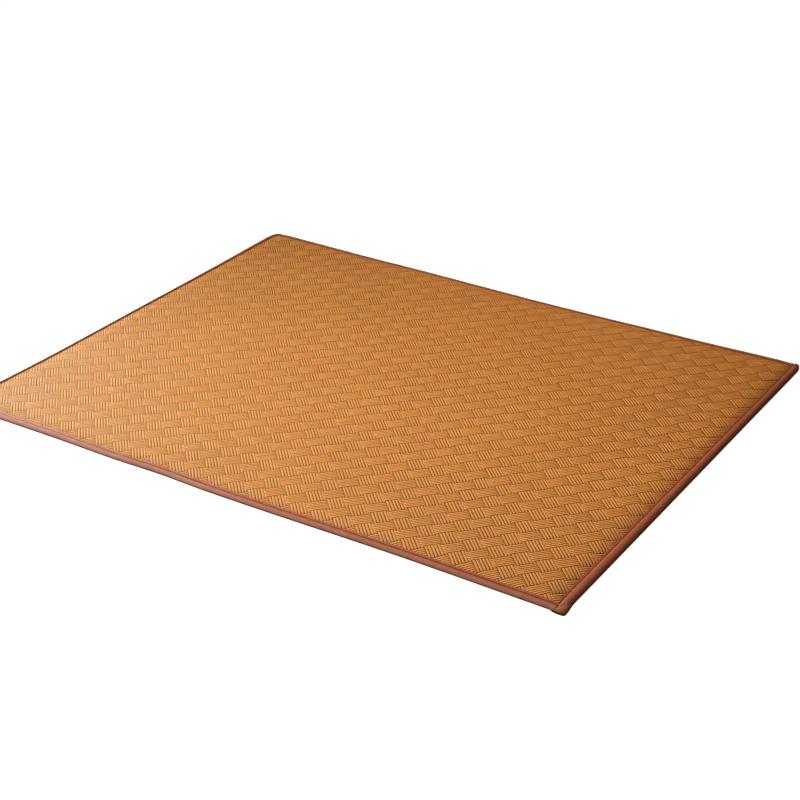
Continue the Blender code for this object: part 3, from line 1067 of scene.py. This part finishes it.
def make_stitches(side, start, end, seed):
    runs_along_y, extent, outermost, sign = side_plan(side)
    model = model_stitch()
    shape = read_points(model.data)
    faces = [list(face.vertices) for face in model.data.polygons]
    bpy.data.objects.remove(model, do_unlink=True)
    places = np.arange(start + STITCH, end - STITCH, STITCH_STEP)
    draws = np.random.default_rng(seed)
    places = places + draws.normal(0.0, STITCH_UNEVEN, len(places))
    along = places[:, None] + shape[None, :, 0]
    width = full_width(side, along / extent + 0.5)
    inset = STITCH_INSETS[side]
    away = sign * (outermost - width + inset + shape[None, :, 1])
    x, y = (away, along) if runs_along_y else (along, away)
    shares, heights, _ = np.array(SECTIONS[side][:FIRST_UNDER]).T
    cloth_level = np.interp(1.0 - inset / width, shares[::-1], heights[::-1]) * TAPES[side][2]
    level = np.maximum(cloth_level, face_height(x, y) + LEAST_LIFT) + STITCH_LIFT + shape[None, :, 2]
    x, y = settle(x, y)
    piece = add_copies("stitches_" + side, faces, x, y, level)
    face_outwards(piece)
    bpy.ops.object.shade_smooth()
    finish_piece(piece, thread_material)
    return piece


# The rows stop a little short of each corner.
stitches = [
    make_stitches("left", -WIDTH / 2.0 + 0.012, WIDTH / 2.0 - 0.010, 41),
    make_stitches("right", -WIDTH / 2.0 + 0.014, WIDTH / 2.0 - 0.010, 43),
    make_stitches("front", front_start, LENGTH / 2.0 - TAPES["right"][0] - BUTT_GAP, 47),
    make_stitches("back", back_start, LENGTH / 2.0 - TAPES["right"][1] - BUTT_GAP, 53),
]

# %% [markdown]
# ## Floor, light and camera
#
# The mat lies on a plain white floor. A large soft light stands far off at the left, so the strands
# throw their own small shadows and the right edge's roll falls into shade. Two small lights near the
# left end make it the brightest, and a soft one overhead fills the rest. The camera looks down on the
# front right corner.


# %% Floor
# The floor lies a hair below the mat, and glows so that it comes out almost white.
FLOOR_SIDE = 240.0
FLOOR_DROP = 0.0004
FLOOR_GLOW = 0.98


def make_floor():
    nothing_selected()
    bpy.ops.mesh.primitive_plane_add(size=FLOOR_SIDE, location=(0.0, 0.0, -FLOOR_DROP))
    floor = bpy.context.object
    floor.name = "floor"
    material, tree, shader = new_material("pale floor")
    shader.inputs["Base Color"].default_value = (0.85, 0.85, 0.85, 1.0)
    shader.inputs["Roughness"].default_value = 0.9
    shader.inputs["Specular IOR Level"].default_value = 0.1
    shader.inputs["Emission Color"].default_value = WHITE
    shader.inputs["Emission Strength"].default_value = FLOOR_GLOW
    floor.data.materials.append(material)
    floor.visible_diffuse = False
    floor.visible_glossy = False
    print("floor", FLOOR_SIDE, "m wide")


make_floor()

# %% Lights
# Name, place, point that it faces, sides in metres, spread in degrees, power in watts, colour.
LIGHTS = (
    ("left_light", (-6.5, -0.4, 3.6), (0.5, -0.6, 0.0), (2.2, 1.8), 48.0, 61.0, (1.0, 0.94, 0.80)),
    ("back_light", (-3.2, 1.3, 1.7), (-0.8, -0.9, 0.0), (1.2, 1.0), 40.0, 2.3, (0.76, 1.0, 0.98)),
    ("window_light", (-2.4, 0.4, 0.75), (-1.0, -0.8, 0.0), (0.9, 0.6), 60.0, 2.0, (0.66, 0.95, 1.0)),
    ("top_light", (-0.2, -0.5, 3.0), (-0.1, -0.4, 0.0), (1.4, 1.4), 90.0, 17.5, (0.96, 0.96, 0.92)),
)
ROOM_COLOUR = (0.070, 0.045, 0.026)


def add_area_light(name, place, target, size, spread, power, colour):
    data = bpy.data.lights.new(name, "AREA")
    data.shape = "RECTANGLE"
    data.size, data.size_y = size
    data.spread = math.radians(spread)
    data.energy = power
    data.color = colour
    light = bpy.data.objects.new(name, data)
    scene.collection.objects.link(light)
    light.location = place
    light.rotation_mode = "QUATERNION"
    light.rotation_quaternion = (Vector(target) - Vector(place)).to_track_quat("-Z", "Y")
    print(name, power, "W")


for light in LIGHTS:
    add_area_light(*light)

# A dim warm room all round.
world = bpy.data.worlds.new("studio")
world.use_nodes = True
background = world.node_tree.nodes["Background"]
background.inputs["Color"].default_value = (*ROOM_COLOUR, 1.0)
background.inputs["Strength"].default_value = 1.0
scene.world = world
scene.view_settings.view_transform = "Standard"

# %% Camera
AZIMUTH = math.radians(33.953)
ELEVATION = math.radians(28.213)
ROLL_ANGLE = math.radians(-1.122)
EYE = Vector((2.5231, -3.6877, 2.3505))
LENS = 76.360
VIEW_DEPTH = 400.0

back = Vector((
    math.sin(AZIMUTH) * math.cos(ELEVATION),
    -math.cos(AZIMUTH) * math.cos(ELEVATION),
    math.sin(ELEVATION)))
level_right = Vector((math.cos(AZIMUTH), math.sin(AZIMUTH), 0.0))
level_up = back.cross(level_right)
camera_right = math.cos(ROLL_ANGLE) * level_right + math.sin(ROLL_ANGLE) * level_up
camera_up = -math.sin(ROLL_ANGLE) * level_right + math.cos(ROLL_ANGLE) * level_up

camera_data = bpy.data.cameras.new("camera")
camera_data.lens = LENS
camera_data.sensor_width = 36.0
camera_data.clip_end = VIEW_DEPTH
camera = bpy.data.objects.new("camera", camera_data)
scene.collection.objects.link(camera)
turn = Matrix((camera_right, camera_up, back)).transposed()
camera.matrix_world = Matrix.Translation(EYE) @ turn.to_4x4()
scene.camera = camera
print("camera at", [round(a, 3) for a in camera.location], "lens", LENS)
